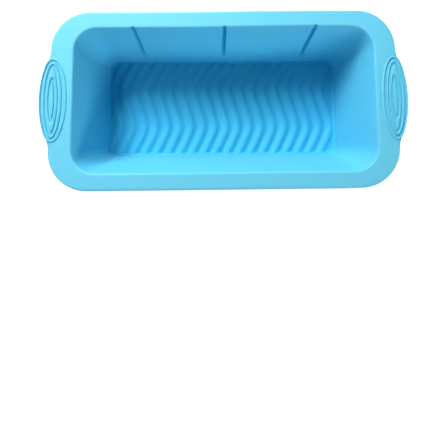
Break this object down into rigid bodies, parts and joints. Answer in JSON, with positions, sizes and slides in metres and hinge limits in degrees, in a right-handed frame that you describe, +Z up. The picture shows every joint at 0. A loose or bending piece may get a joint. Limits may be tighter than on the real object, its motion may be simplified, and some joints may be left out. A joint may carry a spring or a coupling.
{
  "type": "silicone soap mould",
  "caption": "Flexible rectangular loaf mould for soap with a wavy floor, drafted walls, a wide flat flange and a ringed finger pad on the ear at each end.",
  "frame": {"origin": "middle of the underside, on the plane of the floor's outer lands", "axes": "+X along the length towards the right-hand ear, +Y across towards the back wall, +Z up out of the cavity"},
  "size_m": [0.2672, 0.1298, 0.0659],
  "materials": {
    "silicone": "satin"
  },
  "bodies": {
    "root": {"corrugated_base": "silicone", "front_wall": "silicone", "front_wall_ribs": "silicone", "front_left_corner": "silicone", "front_right_corner": "silicone", "back_wall": "silicone", "back_wall_ribs": "silicone", "back_left_corner": "silicone", "back_right_corner": "silicone", "left_wall": "silicone", "right_wall": "silicone", "rim_flange": "silicone", "rim_bead": "silicone", "left_handle_pad": "silicone", "right_handle_pad": "silicone"}
  },
  "joints": []
}
